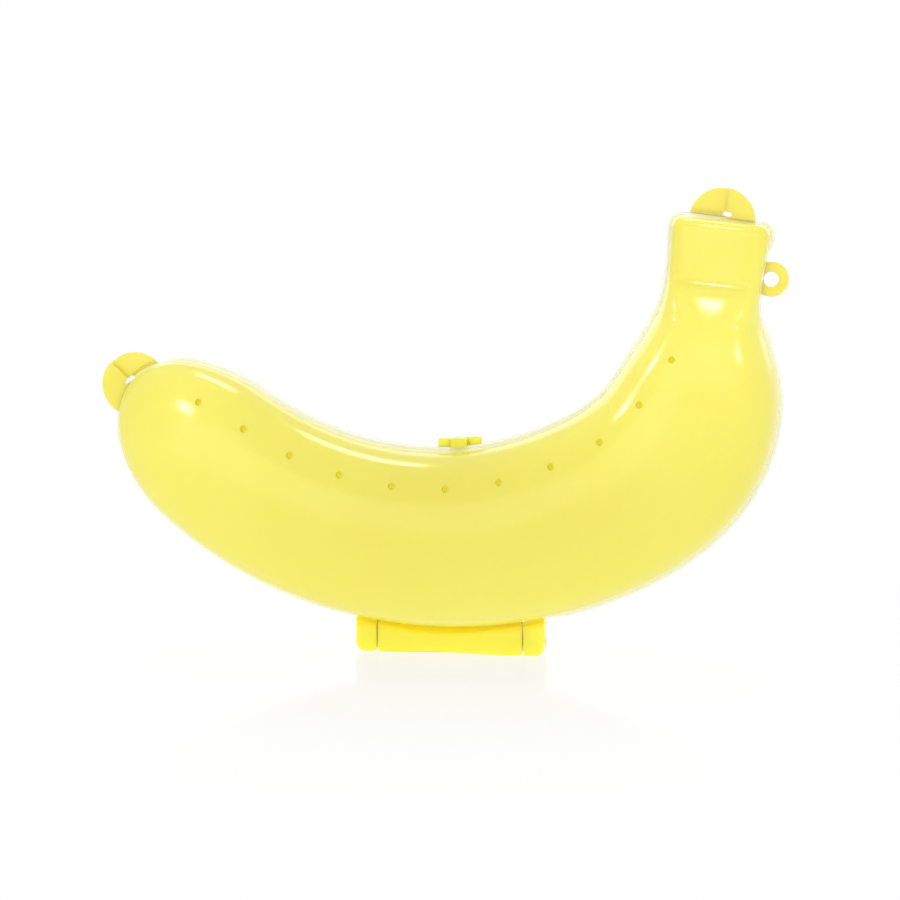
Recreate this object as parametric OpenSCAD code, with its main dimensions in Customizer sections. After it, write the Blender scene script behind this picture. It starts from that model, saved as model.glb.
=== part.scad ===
// Banana carrying case: two moulded half shells that meet at a flat parting plane,
// joined by a pin hinge under the belly and held shut by a snap latch in the hollow of the curve.
// X runs from tip to stem, Y from front to back and Z up. Y = 0 is the parting plane and
// Z = 0 the flat foot under the middle of the hinge.

/* [Spine] */
// Straight run of the spine behind the blunt tip
tip_run = 24.5; // [21:0.5:28]
// Radius of the spine between the tip and the belly
rear_bend_r = 106; // [100:0.5:115]
// Angle that the spine turns between the tip and the belly
rear_bend_angle = 42.5; // [38:0.5:46]
// Radius of the spine from the belly to the flank
belly_bend_r = 102; // [95:0.5:109]
// Angle that the spine turns from the belly to the flank
belly_bend_angle = 33.5; // [30:0.5:37]
// Radius of the spine round the shoulder
shoulder_bend_r = 36.5; // [34:0.5:42]
// Angle that the spine turns round the shoulder
shoulder_bend_angle = 50; // [46:0.5:54]
// Straight run of the spine up through the stem
stem_run = 47; // [43:0.5:51]
// Half the length over which one bend eases into the next
bend_ease = 12.5; // [10:0.5:16]

/* [Widths] */
// Width that the blunt tip is drawn from
tip_width = 43.6; // [40:0.2:46]
// Width of the rear half
rear_width = 47.8; // [45:0.2:50]
// Width over the hinge
middle_width = 49.8; // [47:0.2:52]
// Width at the flank, the widest place
flank_width = 50.6; // [48:0.2:53]
// Width at the shoulder
shoulder_width = 44.8; // [42:0.2:47]
// Width of the neck below the stem
neck_width = 26.8; // [25:0.2:29]
// Width at the end of the stem
stem_width = 27.4; // [26:0.2:29]
// Length of the rounded tip
tip_dome = 32.5; // [29:0.5:36]
// Radius of the corners at the end of the stem
stem_corner_r = 3; // [2:0.1:4]

/* [Depths] */
// Depth of the closed case, front to back
case_depth = 44; // [40:0.5:48]
// Depth that the blunt tip is drawn from
tip_depth = 34; // [30:0.5:38]
// Depth of the closed stem, front to back
stem_depth = 24; // [21:0.5:27]
// Length of the flat stem above the crease
stem_len = 17.5; // [15:0.5:20]
// Length over which the body swells below the crease
swell_len = 26; // [22:0.5:34]
// Squareness of the body section, where 2 is an ellipse
body_square = 2.5; // [2.2:0.05:2.8]
// Squareness of the stem section
stem_square = 4.5; // [3.5:0.1:5.5]

/* [Shell and rim] */
// Thickness of the moulded wall
wall = 1.6; // [1.4:0.05:2]
// Width of the rim flange
flange_w = 1.2; // [0.8:0.05:1.6]
// Thickness of the rim flange on each half
flange_t = 1.2; // [0.9:0.05:1.6]
// Height of the lip on the back half that nests in the front half
lip_h = 1.2; // [0.8:0.05:1.5]
// Part of the wall that stands outside the lip
lip_setback = 0.8; // [0.7:0.05:0.9]

/* [Vents] */
// Number of vent holes in each half
vent_count = 11; // [5:1:15]
// Diameter of a vent hole
vent_d = 1.8; // [1.2:0.1:2.4]
// Distance of the vent row from the hollow edge
vent_inset = 8.3; // [7.5:0.1:10]
// Further distance of the row from the edge where it reaches the neck
vent_drift = 1.8; // [0:0.1:4]
// Distance of the first vent from the tip, along the spine
vent_first = 17.5; // [15:0.5:27]
// Distance of the last vent from the end of the stem, along the spine
vent_last = 34; // [31:0.5:45]

/* [Hinge] */
// Half the thickness of the hinge, and the height of its axis above the foot
knuckle_r = 3.5; // [3.2:0.05:4]
// Length of the whole hinge
hinge_len = 54; // [48:0.5:60]
// Length of each end knuckle
end_knuckle_len = 6.3; // [5:0.1:9]
// Gap between neighbouring knuckles
knuckle_gap = 0.5; // [0.3:0.05:0.8]
// Radius of the lower corners at the ends of the hinge
hinge_corner_r = 2.6; // [1:0.1:3]
// Radius of the lower corners beside the gaps
gap_corner_r = 0.8; // [0.4:0.1:1.2]
// Diameter of the hinge pin
pin_d = 2.4; // [2:0.1:3]
// Depth of the pin's ends inside the end knuckles
pin_set = 0.8; // [0.4:0.1:1.5]
// Height of the belly above the height of the hinge
belly_gap = 0.9; // [0.7:0.05:1.4]
// Gap between the belly and the middle knuckle, whose top follows it
belly_room = 0.15; // [0.1:0.01:0.25]
// Thickness of the webs that join the knuckles to the shells
web_t = 2.4; // [1.8:0.1:3]
// Distance of the hinge from the lowest point of the spine
hinge_shift = 2.8; // [0:0.1:5]

/* [Latch] */
// Distance of the latch from the lowest point of the spine, along the spine
latch_along = 7; // [4:0.5:10]
// Width of the latch keeper
keeper_w = 12.3; // [11:0.1:14]
// Height of the latch above the rim
latch_h = 2.4; // [2:0.1:3]
// Width of the latch tongue
tongue_w = 4.6; // [3.6:0.1:5.4]
// Thickness of the latch tongue
tongue_t = 0.9; // [0.7:0.05:1.1]
// Room on each side of the tongue, between the keeper's posts
tongue_room = 0.3; // [0.3:0.1:1.4]
// Depth of the keeper bar that the tongue hooks over
keeper_bar = 1.6; // [1.2:0.1:2]
// Length of the barb along the tongue
barb_len = 1; // [0.8:0.1:1.4]
// Depth that the barb reaches down behind the bar
barb_drop = 0.7; // [0.5:0.05:0.9]

/* [Finger tabs] */
// Radius of the split finger tabs
tab_r = 9.2; // [8:0.1:10.5]
// Thickness of each half of a tab
tab_t = 1.9; // [1.6:0.1:2.4]
// Overlap of the two halves of a tab, seen from the front
tab_lap = 0.4; // [0:0.05:0.8]
// Distance of the tip tab's centre inside the tip
tip_tab_inset = 1.2; // [0:0.1:3]
// Distance of the stem tab's centre inside the end of the stem
stem_tab_inset = 0.3; // [0:0.1:1.5]
// Distance of the splits of both tabs from the spine, towards the outer curve
tab_shift = 1; // [0:0.1:2]
// Distance of the stem tab's centre from its split, towards the hollow
stem_tab_shift = 1.2; // [0:0.1:2]
// Rounding of the tabs' rims
tab_round = 0.5; // [0.2:0.1:0.8]
// Width of the groove at the root of the tabs on the back half
groove_w = 1; // [0.6:0.1:1.4]
// Depth of that groove
groove_d = 0.7; // [0.4:0.1:1]
// Length of the relief slot at the root of the split
relief_len = 2.6; // [1.6:0.1:3]
// Width of the relief slot
relief_w = 1.2; // [0.8:0.1:1.4]

/* [Key loop] */
// Diameter of the hole for a key ring
loop_hole_d = 4.1; // [3:0.1:5]
// Width of the loop's wall round the hole
loop_wall = 2.8; // [2:0.1:3.2]
// Thickness of the loop
loop_t = 2.5; // [2:0.1:3]
// Rounding of the loop's outer edges
loop_round = 0.8; // [0.3:0.1:1]
// Thickness of the loop between its hole and the case
loop_skin = 0.08; // [0.05:0.01:0.2]
// Distance of the loop below the end of the stem
loop_back = 14.4; // [12:0.1:17]
// Length of rim without a flange below the loop
loop_bare = 5; // [2:0.1:8]

/* [Fits] */
// Gap between the two rims when the case is shut
rim_gap = 0.2; // [0.1:0.05:0.4]
// Gap round the nested lip
lip_clear = 0.15; // [0.1:0.05:0.2]
// Gap between a small piece and the shell that carries it
seat_gap = 0.03; // [0.02:0.01:0.05]
// Radial play of the pin in the end knuckles
pin_play = 0.05; // [0.02:0.01:0.08]
// Radial play of the pin in the middle knuckle
pin_seat = 0.02; // [0.01:0.01:0.03]
// Gap round the pieces that swing past each other
swing_gap = 0.35; // [0.3:0.05:0.5]

/* [Hidden] */
$fn = 64;

lemon = [0.97, 0.92, 0.40];
deep_lemon = [0.95, 0.86, 0.27];

// Lengths of the bends, and stations measured along the spine from the tip
rear_len = rear_bend_r * rear_bend_angle * PI / 180;
belly_len = belly_bend_r * belly_bend_angle * PI / 180;
shoulder_len = shoulder_bend_r * shoulder_bend_angle * PI / 180;
belly_s = tip_run + rear_len;
flank_s = belly_s + belly_len;
shoulder_s = flank_s + shoulder_len;
end_s = shoulder_s + stem_run;
crease_s = end_s - stem_len;
latch_s = belly_s + latch_along;
loop_s = end_s - loop_back;

// Where along its bend each width is taken
rear_share = 0.4;
flank_share = 0.18;
shoulder_share = 1;
neck_below_crease = 5.5;

// Heading of the spine in degrees, before easing, and full widths
bends = [[0, -rear_bend_angle], [tip_run, -rear_bend_angle], [belly_s, 0],
         [flank_s, belly_bend_angle], [shoulder_s, belly_bend_angle + shoulder_bend_angle]];
widths = [[0, tip_width], [tip_run + rear_share * rear_len, rear_width], [belly_s, middle_width],
          [flank_s + flank_share * shoulder_len, flank_width],
          [flank_s + shoulder_share * shoulder_len, shoulder_width],
          [crease_s - neck_below_crease, neck_width], [end_s, stem_width]];

// Steps of the lofted shells
ease_steps = 4;
spine_steps = 240;
dome_steps = 9;
body_steps = 31;
swell_steps = 6;
stem_steps = 5;
corner_steps = 5;
outer_steps = 18;
inner_steps = 12;
pole_angle = 6;
swell_fine = 14;
swell_power = 1.5;
fine_power = 1.8;
square_ease = 10;
slope_step = 0.01;
flange_rest = 0.12;
flange_fade = 0.28;
flange_clear = 1;
turn_steps = 12;

// Heights of the hinge and the spine above the foot
hinge_z = knuckle_r;
spine_z = 2 * knuckle_r + belly_gap + middle_width / 2;
middle_knuckle_len = hinge_len - 2 * end_knuckle_len;
loop_r = loop_hole_d / 2 + loop_wall;
rim_y = rim_gap / 2;
far = 200;

// Smooth curve through stations of position and value
function span(k, s, i = 0) = i >= len(k) - 2 || s < k[i + 1][0] ? i : span(k, s, i + 1);
function slope(k, i) =
    i == 0 || i == len(k) - 1 ? 0 : (k[i + 1][1] - k[i - 1][1]) / (k[i + 1][0] - k[i - 1][0]);
function curve(k, s) =
    let (i = span(k, s), h = k[i + 1][0] - k[i][0], t = (s - k[i][0]) / h)
    (2 * t + 1) * (1 - t) * (1 - t) * k[i][1] + t * (1 - t) * (1 - t) * h * slope(k, i)
    + t * t * (3 - 2 * t) * k[i + 1][1] - t * t * (1 - t) * h * slope(k, i + 1);

// The spine: its heading, its points, and its unit tangent and normal
function mean(v) = v * [for (x = v) 1] / len(v);
function heading(s) =
    mean([for (j = [-ease_steps : ease_steps]) lookup(s + bend_ease * j / ease_steps, bends)]);
function tangent(s) = [cos(heading(s)), sin(heading(s))];
function normal(s) = [-sin(heading(s)), cos(heading(s))];
spine_step = end_s / spine_steps;
spine_path = [for (i = 0, p = [0, 0]; i <= spine_steps;
                   p = p + spine_step * tangent((i + 0.5) * spine_step), i = i + 1) p];
function along_path(s) =
    let (q = s / spine_step, i = min(floor(q), spine_steps - 1))
    spine_path[i] + (q - i) * (spine_path[i + 1] - spine_path[i]);
spine_start = [-hinge_shift, spine_z] - along_path(belly_s);
function spine(s) = spine_start + along_path(s);

// Half width, half depth and squareness of the section at a station
function dome(s) = s < tip_dome ? sqrt(1 - pow(1 - s / tip_dome, 2)) : 1;
function corner(s) =
    let (u = stem_corner_r - (end_s - s))
    u > 0 ? stem_corner_r - sqrt(max(0, pow(stem_corner_r, 2) - u * u)) : 0;
function half_width(s) = curve(widths, s) / 2 * dome(s) - corner(s);
function body_depth(s) =
    (tip_depth + (case_depth - tip_depth) * sin(90 * min(1, s / belly_s))) / 2;
function swell(s) =
    let (u = min(1, max(0, (crease_s - s) / swell_len)))
    pow(1 - pow(1 - u, swell_power), 1 / swell_power);
function half_depth(s) =
    (stem_depth / 2 + (body_depth(s) - stem_depth / 2) * swell(s)) * dome(s) - corner(s);
function squareness(s) =
    body_square + (stem_square - body_square) * min(1, max(0, 1 + (s - crease_s) / square_ease));

// Angle by which the outline leans away from the spine, and a point of the outline moved outwards
function lean(s) =
    atan((half_width(s + slope_step) - half_width(s - slope_step)) / (2 * slope_step));
function edge(s, side, out = 0) =
    spine(s) + side * half_width(s) * normal(s)
    + out * (side * cos(lean(s)) * normal(s) - sin(lean(s)) * tangent(s));

// The flange fades out behind the tip tab, along the hinge and beside the key loop
loop_at = edge(loop_s, -1, flange_rest + seat_gap + loop_skin + loop_hole_d / 2);
tip_tab_at = spine(0) + tip_tab_inset * tangent(0) - tab_shift * normal(0);
function flange(s, side) =
    let (p = edge(s, side), tab_clear = norm(p - tip_tab_at) - tab_r,
         hinge_clear = abs(p[0]) - hinge_len / 2,
         loop_clear = max(loop_s - s - loop_bare, s - loop_s) - loop_r,
         clear = side > 0 ? tab_clear : min(tab_clear, hinge_clear, loop_clear))
    min(flange_w, max(flange_rest, flange_fade * (clear - flange_clear)));

// Stations of the loft, close together where the outline or the depth turns fast
stations = [
    for (i = [0 : dome_steps])
        tip_dome * (1 - cos(pole_angle + (90 - pole_angle) * i / dome_steps)),
    for (i = [1 : body_steps])
        tip_dome + (crease_s - swell_fine - tip_dome) * i / body_steps,
    for (i = [1 : swell_steps]) crease_s - swell_fine * pow(1 - i / swell_steps, fine_power),
    for (i = [1 : stem_steps]) crease_s + (stem_len - stem_corner_r) * i / stem_steps,
    for (i = [1 : corner_steps])
        end_s - stem_corner_r * (1 - sin((90 - pole_angle) * i / corner_steps))
];

// Outline of the closed case, moved outwards: the wall itself, and the wall with its flange
function wall_outline(out) = concat(
    [for (s = stations) edge(s, 1, out)],
    [for (i = [len(stations) - 1 : -1 : 0]) edge(stations[i], -1, out)]);
function flange_outline(out) = concat(
    [for (s = stations) edge(s, 1, flange(s, 1) + out)],
    [for (i = [len(stations) - 1 : -1 : 0])
        edge(stations[i], -1, flange(stations[i], -1) + out)]);

// Points of a section: a superellipse from one rim over the crown to the other rim
function depth_angle(depth, half, n) = asin(pow(depth / half, n / 2));
function bow(a, b, n, from, steps) = [
    for (i = [0 : steps]) let (t = from + (180 - 2 * from) * i / steps)
        [a * sign(cos(t)) * pow(abs(cos(t)), 2 / n), b * pow(sin(t), 2 / n)]];
function lift(p, y) = [p[0], y, p[1]];

// One ring of the shell: the flange and outer wall, then the rim step and inner wall
rim_points = 3;
function outer_ring(s) =
    let (w = half_width(s), d = half_depth(s), n = squareness(s), top = rim_y + flange_t,
         hollow = edge(s, 1, flange(s, 1)), curved = edge(s, -1, flange(s, -1)))
    concat(
        [lift(hollow, rim_y), lift(hollow, top)],
        [for (q = bow(w, d, n, depth_angle(min(top, d / 2), d, n), outer_steps))
            lift(spine(s) + q[0] * normal(s), max(top, q[1]))],
        [lift(curved, top), lift(curved, rim_y)]);
function inner_ring(s, step_at, step_y) =
    let (w = half_width(s) - wall * cos(lean(s)), d = half_depth(s) - wall * cos(lean(s)),
         n = squareness(s), centre = spine(s) + wall * sin(lean(s)) * tangent(s),
         from = max(step_y, 0) + rim_y)
    concat(
        [lift(edge(s, -1, -step_at), rim_y), lift(edge(s, -1, -step_at), step_y),
         lift(edge(s, -1, -wall), step_y)],
        [for (q = bow(-w, d, n, depth_angle(min(from, d / 2), d, n), inner_steps))
            lift(centre + q[0] * normal(s), max(from, q[1]))],
        [lift(edge(s, 1, -wall), step_y), lift(edge(s, 1, -step_at), step_y),
         lift(edge(s, 1, -step_at), rim_y)]);

// Triangles: the skin between neighbouring rings, and the closing strips at both ends
outer_count = outer_steps + 5;
inner_count = inner_steps + 1 + 2 * rim_points;
ring_count = outer_count + inner_count;
function quad(a, b, c, d) = [[a, b, c], [a, c, d]];
function skin(rings) = [
    for (k = [0 : rings - 2], j = [0 : ring_count - 1])
        let (a = k * ring_count, n = (j + 1) % ring_count)
        each quad(a + j, a + n, a + ring_count + n, a + ring_count + j)];
function zip(first, count) = [
    for (j = [0 : ceil(count / 2) - 2])
        let (a = first + j, b = first + count - 1 - j)
        each b - a == 2 ? [[a, a + 1, b]] : quad(a, a + 1, b - 1, b)];
function end_faces(first) = concat(
    zip(first, outer_count), zip(first + outer_count, inner_count),
    quad(first + outer_count - 1, first + outer_count, first + ring_count - 1, first));
function reversed(faces) = [for (f = faces) [f[2], f[1], f[0]]];

module half_shell(step_at, step_y) {
    polyhedron(
        points = [for (s = stations) each concat(outer_ring(s), inner_ring(s, step_at, step_y))],
        faces = concat(reversed(end_faces(0)), skin(len(stations)),
                       end_faces((len(stations) - 1) * ring_count)));
}

// An outline of the XZ plane, given thickness in Y from y0 to y1
module slab(points, y0, y1) {
    translate([0, y1, 0])
        rotate([90, 0, 0])
            linear_extrude(y1 - y0) polygon(points);
}

// The room that the closed case fills near its parting plane: what seats on it is cut by this
module case_room() {
    slab(wall_outline(seat_gap), -far, far);
    slab(flange_outline(seat_gap), -rim_y - flange_t - seat_gap, rim_y + flange_t + seat_gap);
}

// Places its children at a station, with X along the spine and Z along its normal
module at_station(s, across = 0) {
    p = spine(s) + across * normal(s);
    translate([p[0], 0, p[1]])
        rotate([0, -heading(s), 0]) children();
}

// Vents: evenly spaced along a row that follows the hollow edge and drifts from it at the neck
drift_power = 3;
function vent_s(u) = vent_first + (end_s - vent_last - vent_first) * u;
function vent_place(u) = edge(vent_s(u), 1, -vent_inset - vent_drift * pow(u, drift_power));
vent_table = [for (i = 0, d = 0; i <= spine_steps;
                   d = d + norm(vent_place((i + 1) / spine_steps) - vent_place(i / spine_steps)),
                   i = i + 1)
              [d, i / spine_steps]];
vent_row = vent_table[spine_steps][0];
module vents() {
    for (i = [0 : vent_count - 1]) {
        p = vent_place(lookup(vent_row * i / (vent_count - 1), vent_table));
        translate([p[0], 0, p[1]])
            rotate([-90, 0, 0]) cylinder(h = case_depth, d = vent_d, $fn = 24);
    }
}

// A disc along Z with rounded rims
module disc(r, thick, round_r) {
    rotate_extrude()
        difference() {
            square([r, thick]);
            for (top = [0, 1])
                translate([r, top * thick]) rotate(90 + 90 * top) corner_cut(round_r);
        }
}

// What is cut away to round a corner that lies at the origin, with the solid towards +X and +Y
module corner_cut(radius) {
    difference() {
        square(radius);
        translate([radius, radius]) circle(radius);
    }
}

// The round of the hinge from x0 to x1, turned about its axis: it follows the belly, less some room
belly_line = [for (s = stations) let (p = edge(s, -1)) if (abs(p[0]) < hinge_len) p];
module hinge_turning(x0, x1, room) {
    places = [for (i = [0 : turn_steps]) x0 + (x1 - x0) * i / turn_steps];
    translate([0, 0, hinge_z])
        rotate([0, 90, 0])
            rotate_extrude()
                polygon(concat([[0, x1], [0, x0]],
                               [for (x = places) [lookup(x, belly_line) - hinge_z - room, x]]));
}

// A block of the hinge from x0 to x1: the turned round, made flat at the front, back and foot
module hinge_block(x0, x1, z0, room, round0, round1) {
    intersection() {
        hinge_turning(x0, x1, room);
        translate([0, knuckle_r - z0, 0])
            rotate([90, 0, 0])
                linear_extrude(2 * (knuckle_r - z0))
                    difference() {
                        translate([x0, z0]) square([x1 - x0, spine_z]);
                        translate([x0, z0]) corner_cut(round0);
                        translate([x1, z0]) rotate(90) corner_cut(round1);
                    }
    }
}

// A straight hole along X for the hinge pin
module pin_hole(play) {
    translate([-far, 0, hinge_z])
        rotate([0, 90, 0]) cylinder(h = 2 * far, d = pin_d + 2 * play);
}

// A web from a hinge block up to the shell on one side of the parting plane
module hinge_web(x0, x1, side) {
    difference() {
        translate([x0, side > 0 ? rim_y : -rim_y - web_t, hinge_z])
            cube([x1 - x0, web_t, spine_z - hinge_z]);
        case_room();
    }
}

// A split tab: the part of a disc on one side of the split, clear of the case.
// outward is the way out of the case along the spine, toward picks the part and side its half
module half_tab(s, outward, inset, shift, toward, side) {
    y0 = side > 0 ? rim_y : -rim_y - tab_t;
    root = flange(max(s, stations[0]), 1);
    difference() {
        at_station(s, -tab_shift)
            intersection() {
                translate([-outward * inset, y0, shift])
                    rotate([-90, 0, 0]) disc(tab_r, tab_t, tab_round);
                translate([-2 * tab_r, y0, toward > 0 ? -tab_lap / 2 : tab_lap / 2 - 2 * tab_r])
                    cube([4 * tab_r, tab_t, 2 * tab_r]);
            }
        case_room();
        if (side > 0) slab(flange_outline(groove_w), 0, rim_y + groove_d);
        at_station(s, -tab_shift)
            translate([outward * (root + relief_w / 2), 0, 0]) tab_relief();
    }
}

// A round-ended slot along the rim, at the root of the split
module tab_relief() {
    run = relief_len - relief_w;
    rotate([90, 0, 0])
        linear_extrude(2 * tab_t + 2 * rim_gap, center = true) {
            square([relief_w, run], center = true);
            for (end = [-1, 1])
                translate([0, end * run / 2]) circle(d = relief_w);
        }
}

// The latch, drawn with X along the rim and Z out of it
latch_top = flange_w + latch_h;
post_w = (keeper_w - tongue_w) / 2 - tongue_room;
bar_front = rim_y + swing_gap;
bar_top = latch_top - tongue_t - swing_gap;
barb_front = bar_front + keeper_bar + swing_gap;
tongue_root = -rim_y - swing_gap;
module at_latch() {
    at_station(latch_s, half_width(latch_s)) children();
}

module back_shell() {
    color(lemon)
        difference() {
            half_shell(lip_setback + lip_clear, -lip_h);
            vents();
        }
}

module front_shell() {
    x1 = middle_knuckle_len / 2 + knuckle_gap;
    color(lemon)
        difference() {
            mirror([0, 1, 0])
                difference() {
                    half_shell(lip_setback, lip_h + lip_clear + rim_gap);
                    vents();
                }
            hinge_turning(-x1, x1, belly_room - swing_gap);
        }
}

module back_hinge_knuckle() {
    x1 = middle_knuckle_len / 2;
    color(deep_lemon)
        difference() {
            union() {
                hinge_block(-x1, x1, 0, belly_room, gap_corner_r, gap_corner_r);
                hinge_web(-x1, x1, 1);
            }
            case_room();
            pin_hole(pin_seat);
        }
}

// turn is -1 for the knuckle at the tip's end of the hinge and 1 for the other
module front_hinge_knuckle(turn) {
    x0 = middle_knuckle_len / 2 + knuckle_gap;
    x1 = hinge_len / 2;
    room = swing_gap + flange_rest;
    color(deep_lemon)
        difference() {
            union() {
                if (turn > 0) hinge_block(x0, x1, seat_gap, room, gap_corner_r, hinge_corner_r);
                else hinge_block(-x1, -x0, seat_gap, room, hinge_corner_r, gap_corner_r);
                hinge_web(turn > 0 ? x0 : -x1, turn > 0 ? x1 : -x0, -1);
            }
            pin_hole(pin_play);
        }
}

module hinge_pin() {
    length = hinge_len - 2 * pin_set;
    color(deep_lemon)
        translate([-length / 2, 0, hinge_z])
            rotate([0, 90, 0]) cylinder(h = length, d = pin_d);
}

module tip_tab(toward, side) {
    color(lemon) half_tab(0, -1, tip_tab_inset, 0, toward, side);
}

module stem_tab(toward, side) {
    color(lemon) half_tab(end_s, 1, stem_tab_inset, stem_tab_shift, toward, side);
}

// Two posts and the low bar between them, standing on the rim of the back half
module back_latch_keeper() {
    depth = keeper_bar + 2 * swing_gap;
    color(deep_lemon)
        difference() {
            at_latch() {
                for (side = [-1, 1])
                    translate([side > 0 ? keeper_w / 2 - post_w : -keeper_w / 2, rim_y, -flange_w])
                        cube([post_w, depth, latch_top + flange_w]);
                translate([-keeper_w / 2, bar_front, -flange_w])
                    cube([keeper_w, keeper_bar, bar_top + flange_w]);
            }
            case_room();
        }
}

// The block on the front rim that the tongue springs from
module front_latch_boss() {
    color(deep_lemon)
        difference() {
            at_latch()
                translate([-tongue_w / 2, tongue_root - keeper_bar, -flange_w])
                    cube([tongue_w, keeper_bar, latch_top + flange_w]);
            case_room();
        }
}

// The tongue reaches over the bar and hooks down behind it
module latch_tongue() {
    y0 = tongue_root + swing_gap / 2;
    color(deep_lemon)
        at_latch() {
            translate([-tongue_w / 2, y0, latch_top - tongue_t])
                cube([tongue_w, barb_front + barb_len - y0, tongue_t]);
            translate([-tongue_w / 2, barb_front, latch_top - tongue_t - barb_drop])
                cube([tongue_w, barb_len, tongue_t + barb_drop]);
        }
}

module key_loop() {
    color(lemon)
        difference() {
            translate([loop_at[0], rim_y, loop_at[1]])
                rotate([-90, 0, 0])
                    difference() {
                        disc(loop_r, loop_t, loop_round);
                        translate([0, 0, -loop_t]) cylinder(h = 3 * loop_t, d = loop_hole_d);
                    }
            case_room();
        }
}

back_shell();
back_hinge_knuckle();
tip_tab(1, 1);  // back_tip_tab
stem_tab(1, 1);  // back_stem_tab
back_latch_keeper();
key_loop();
hinge_pin();
front_shell();
front_hinge_knuckle(-1);  // front_hinge_knuckle_left
front_hinge_knuckle(1);  // front_hinge_knuckle_right
tip_tab(-1, -1);  // front_tip_tab
stem_tab(-1, -1);  // front_stem_tab
front_latch_boss();
latch_tongue();
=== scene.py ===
import math
import bpy
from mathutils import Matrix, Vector


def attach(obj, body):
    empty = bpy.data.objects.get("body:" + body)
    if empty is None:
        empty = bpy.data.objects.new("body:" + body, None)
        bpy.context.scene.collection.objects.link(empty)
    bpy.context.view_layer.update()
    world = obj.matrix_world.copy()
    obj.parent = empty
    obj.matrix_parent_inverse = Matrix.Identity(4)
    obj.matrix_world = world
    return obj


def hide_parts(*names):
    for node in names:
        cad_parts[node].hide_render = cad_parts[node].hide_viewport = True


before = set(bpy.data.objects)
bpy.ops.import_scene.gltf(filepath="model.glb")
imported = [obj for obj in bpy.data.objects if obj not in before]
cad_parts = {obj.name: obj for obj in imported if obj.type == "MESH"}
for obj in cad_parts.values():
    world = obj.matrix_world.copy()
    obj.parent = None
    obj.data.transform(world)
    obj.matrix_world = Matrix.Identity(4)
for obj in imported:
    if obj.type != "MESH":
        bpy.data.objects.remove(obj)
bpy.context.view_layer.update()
mm = 0.001
print("frame loaded,", len(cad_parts), "nodes")

# the banana's form, in millimetres and degrees
form = {
    "tipRun": 24.5, "rearBendR": 106, "rearBendAngle": 42.5,  # spine, from the tip
    "bellyBendR": 102, "bellyBendAngle": 33.5,
    "shoulderBendR": 36.5, "shoulderBendAngle": 50,
    "stemRun": 47, "bendEase": 12.5, "hingeShift": 2.8,
    "tipWidth": 43.6, "rearWidth": 47.8, "middleWidth": 49.8, "flankWidth": 50.6,
    "shoulderWidth": 44.8, "neckWidth": 26.8, "stemWidth": 27.4,
    "rearShare": 0.4, "flankShare": 0.18, "shoulderShare": 1, "neckBelowCrease": 5.5,
    "tipDome": 32.5, "stemCornerR": 3,
    "caseDepth": 44, "tipDepth": 34, "stemDepth": 24, "stemLen": 17.5, "swellLen": 26,
    "bodySquare": 2.5, "stemSquare": 4.5, "squareEase": 10, "swellPower": 1.5, "creaseEase": 1.1,
    "bellyZ": 7.9,  # lowest point of the body above the foot
}


def smoothThrough(knots, s):  # cubic through stations of place and value, flat at both ends
    i = 0
    while i < len(knots) - 2 and s >= knots[i + 1][0]:
        i += 1

    def slope(k):
        if k in (0, len(knots) - 1):
            return 0
        return (knots[k + 1][1] - knots[k - 1][1]) / (knots[k + 1][0] - knots[k - 1][0])

    h = knots[i + 1][0] - knots[i][0]
    t = (s - knots[i][0]) / h
    return ((2 * t + 1) * (1 - t) ** 2 * knots[i][1] + t * (1 - t) ** 2 * h * slope(i)
            + t * t * (3 - 2 * t) * knots[i + 1][1] - t * t * (1 - t) * h * slope(i + 1))


def lookUp(table, s):  # straight lines between the table's rows
    if s <= table[0][0]:
        return table[0][1]
    for (a, va), (b, vb) in zip(table, table[1:]):
        if s <= b:
            return va + (vb - va) * (s - a) / (b - a)
    return table[-1][1]


rearLen = form["rearBendR"] * math.radians(form["rearBendAngle"])
bellyLen = form["bellyBendR"] * math.radians(form["bellyBendAngle"])
shoulderLen = form["shoulderBendR"] * math.radians(form["shoulderBendAngle"])
bellyS = form["tipRun"] + rearLen
flankS = bellyS + bellyLen
shoulderS = flankS + shoulderLen
endS = shoulderS + form["stemRun"]
creaseS = endS - form["stemLen"]
bends = [(0, -form["rearBendAngle"]), (form["tipRun"], -form["rearBendAngle"]), (bellyS, 0),
         (flankS, form["bellyBendAngle"]),
         (shoulderS, form["bellyBendAngle"] + form["shoulderBendAngle"])]
widths = [(0, form["tipWidth"]), (form["tipRun"] + form["rearShare"] * rearLen, form["rearWidth"]),
          (bellyS, form["middleWidth"]),
          (flankS + form["flankShare"] * shoulderLen, form["flankWidth"]),
          (flankS + form["shoulderShare"] * shoulderLen, form["shoulderWidth"]),
          (creaseS - form["neckBelowCrease"], form["neckWidth"]), (endS, form["stemWidth"])]
easeSteps = 4
pathSteps = 480


def heading(s):  # radians, the bends eased into each other
    offsets = [form["bendEase"] * j / easeSteps for j in range(-easeSteps, easeSteps + 1)]
    return math.radians(sum(lookUp(bends, s + d) for d in offsets) / len(offsets))


def tangent(s):
    return Vector((math.cos(heading(s)), math.sin(heading(s))))


def normal(s):
    return Vector((-math.sin(heading(s)), math.cos(heading(s))))


pathStep = endS / pathSteps
spinePath = [Vector((0, 0))]
for i in range(pathSteps):
    spinePath.append(spinePath[-1] + pathStep * tangent((i + 0.5) * pathStep))


def alongPath(s):
    q = s / pathStep
    i = max(0, min(int(q), pathSteps - 1))
    return spinePath[i].lerp(spinePath[i + 1], q - i)


spineStart = Vector((-form["hingeShift"], form["bellyZ"] + form["middleWidth"] / 2)) - alongPath(bellyS)


def spine(s):
    return spineStart + alongPath(s)


def dome(s):
    return math.sqrt(1 - (1 - s / form["tipDome"]) ** 2) if s < form["tipDome"] else 1


def corner(s):
    r = form["stemCornerR"]
    u = r - (endS - s)
    return r - math.sqrt(max(0, r * r - u * u)) if u > 0 else 0


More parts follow.
